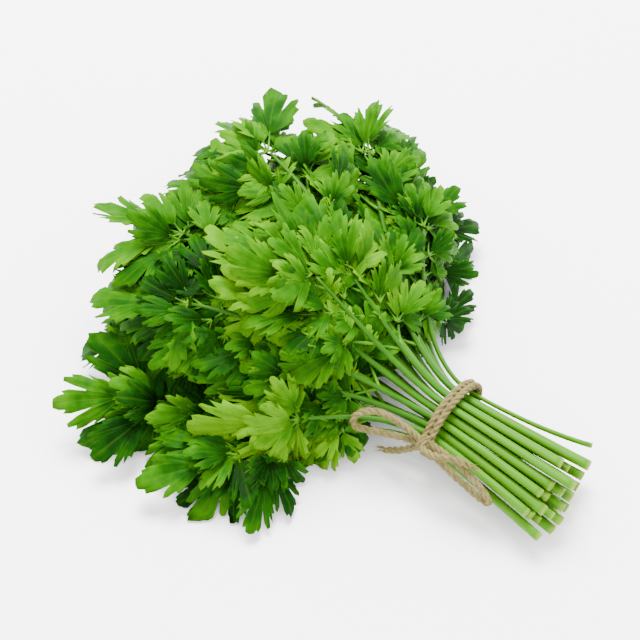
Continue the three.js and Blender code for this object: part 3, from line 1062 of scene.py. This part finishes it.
def leafMaterial():
    material, nodes, links, surface = newMaterial("freshLeaf")
    where = nodes.new("ShaderNodeTexCoord").outputs["Object"]
    tint, vein = readAttribute(nodes, "tint"), readAttribute(nodes, "vein")
    rim, under = readAttribute(nodes, "rim"), readAttribute(nodes, "under")
    mottle = addNode(nodes, "ShaderNodeTexNoise", Scale=leafLook["mottle"], Detail=3.0)
    grain = addNode(nodes, "ShaderNodeTexNoise", Scale=leafLook["grain"], Detail=2.0)
    links.new(where, mottle.inputs["Vector"])
    links.new(where, grain.inputs["Vector"])
    patches, level = leafLook["patches"], leafLook["patchLevel"]
    patch = doMath(nodes, links, "MULTIPLY_ADD", mottle.outputs[0], patches, level)
    # painted highlight: the outer ring of each leaflet is painted paler, as if catching the light
    rimHighlightMask = doMath(nodes, links, "POWER", rim, leafLook["rimPower"])
    edge = doMath(nodes, links, "MULTIPLY", rimHighlightMask, leafLook["rimHighlight"])
    shade = doMath(nodes, links, "ADD", doMath(nodes, links, "ADD", tint, patch), edge)
    ramp = addRamp(nodes, leafLook["shades"])
    links.new(shade, ramp.inputs[0])
    rib = doMath(nodes, links, "POWER", vein, leafLook["ribPower"])
    ribShare = doMath(nodes, links, "MULTIPLY", rib, leafLook["ribPaler"])
    ribbed = mixColours(nodes, links, ribShare, ramp.outputs[0], leafLook["vein"])
    underShare = doMath(nodes, links, "MULTIPLY", under, leafLook["underPaler"])
    colour = mixColours(nodes, links, underShare, ribbed, leafLook["underside"])
    links.new(colour, surface.inputs["Base Color"])
    surface.inputs["Roughness"].default_value = leafLook["roughness"]
    surface.inputs["Specular IOR Level"].default_value = leafLook["specular"]
    bump = addNode(nodes, "ShaderNodeBump", Strength=leafLook["bump"], Distance=leafLook["bumpDepth"])
    height = doMath(nodes, links, "MULTIPLY_ADD", rib, leafLook["ribBump"], grain.outputs[0])
    links.new(height, bump.inputs["Height"])
    links.new(bump.outputs[0], surface.inputs["Normal"])
    glow = nodes.new("ShaderNodeBsdfTranslucent")
    through = mixColours(nodes, links, leafLook["throughShare"], colour, leafLook["through"])
    links.new(through, glow.inputs["Color"])
    mix = nodes.new("ShaderNodeMixShader")
    mix.inputs[0].default_value = leafLook["translucency"]
    links.new(surface.outputs[0], mix.inputs[1])
    links.new(glow.outputs[0], mix.inputs[2])
    links.new(mix.outputs[0], nodes["Material Output"].inputs["Surface"])
    return material


stemLook = {
    "shades": [  # from the cut end to the tip
        (0.0, (0.15, 0.25, 0.02)),
        (0.012, (0.043, 0.152, 0.0002)),
        (0.36, (0.043, 0.152, 0.0002)),
        (0.55, (0.022, 0.11, 0.0002)),
        (0.8, (0.015, 0.075, 0.0003)),
    ],
    "streaks": 60.0,
    "streakStretch": (0.3, 6.0, 6.0),
    "streakContrast": 0.7,
    "streakLevel": 0.65,
    "roughness": 0.45,
    "specular": 0.1,
    "subsurface": 0.15,
    "subsurfaceRadius": (0.002, 0.003, 0.0006),
    "bump": 0.3,
    "bumpDepth": 0.0003,
}


def stemMaterial():
    material, nodes, links, surface = newMaterial("juicyStem")
    where = nodes.new("ShaderNodeTexCoord").outputs["Object"]
    along = readAttribute(nodes, "along")
    ramp = addRamp(nodes, stemLook["shades"])
    links.new(along, ramp.inputs[0])
    streaks = addNode(nodes, "ShaderNodeTexNoise", Scale=stemLook["streaks"], Detail=4.0)
    stretch = nodes.new("ShaderNodeMapping")
    stretch.inputs["Scale"].default_value = stemLook["streakStretch"]
    links.new(where, stretch.inputs["Vector"])
    links.new(stretch.outputs[0], streaks.inputs["Vector"])
    contrast, level = stemLook["streakContrast"], stemLook["streakLevel"]
    shade = doMath(nodes, links, "MULTIPLY_ADD", streaks.outputs[0], contrast, level)
    vary = nodes.new("ShaderNodeCombineColor")
    for k in range(3):
        links.new(shade, vary.inputs[k])
    colour = mixColours(nodes, links, 1.0, ramp.outputs[0], vary.outputs[0], "MULTIPLY")
    links.new(colour, surface.inputs["Base Color"])
    surface.inputs["Roughness"].default_value = stemLook["roughness"]
    surface.inputs["Specular IOR Level"].default_value = stemLook["specular"]
    surface.inputs["Subsurface Weight"].default_value = stemLook["subsurface"]
    surface.inputs["Subsurface Radius"].default_value = stemLook["subsurfaceRadius"]
    bump = addNode(nodes, "ShaderNodeBump", Strength=stemLook["bump"], Distance=stemLook["bumpDepth"])
    links.new(streaks.outputs[0], bump.inputs["Height"])
    links.new(bump.outputs[0], surface.inputs["Normal"])
    return material


leafMat, stemMat = leafMaterial(), stemMaterial()
for blade in bladeModels.values():
    blade.data.materials.append(leafMat)
for stalk in (stemModel, stalkModel):
    stalk.data.materials.append(stemMat)
sprigs = [growSprig(plan) for plan in plans]
for model in [*bladeModels.values(), stemModel, stalkModel]:
    bpy.data.objects.remove(model)
print("sprigs grown:", len(sprigs), "faces:", sum(len(s.data.polygons) for s in sprigs))


stage = {
    "floor": (0.93, 0.93, 0.93),
    "floorSize": 8,
    "floorHeight": -0.0002,
    "floorRoughness": 0.8,
    "world": 3.2,
    "lamps": {
        "windowLight": {"place": (-0.5, 0.5, 1.7), "size": 0.9, "power": 150},
        "fillLight": {"place": (1.0, -0.9, 1.2), "size": 1.2, "power": 10},
    },
}


def setStage():
    deselectAll()
    bpy.ops.mesh.primitive_plane_add(size=stage["floorSize"], location=(0, 0, stage["floorHeight"]))
    floor = bpy.context.object
    floor.name = "paperFloor"
    material, nodes, links, surface = newMaterial("whitePaper")
    surface.inputs["Base Color"].default_value = (*stage["floor"], 1)
    surface.inputs["Roughness"].default_value = stage["floorRoughness"]
    floor.data.materials.append(material)
    world = bpy.data.worlds.new("softRoom")
    world.use_nodes = True
    world.node_tree.nodes["Background"].inputs[0].default_value = (1, 1, 1, 1)
    world.node_tree.nodes["Background"].inputs[1].default_value = stage["world"]
    bpy.context.scene.world = world
    for name, own in stage["lamps"].items():
        bpy.ops.object.light_add(type="AREA", location=own["place"])
        lamp = bpy.context.object
        lamp.name = name
        lamp.data.size = own["size"]
        lamp.data.energy = own["power"]
        lamp.rotation_euler = Vector(own["place"]).to_track_quat("Z", "Y").to_euler()


setStage()
print("stage lit")
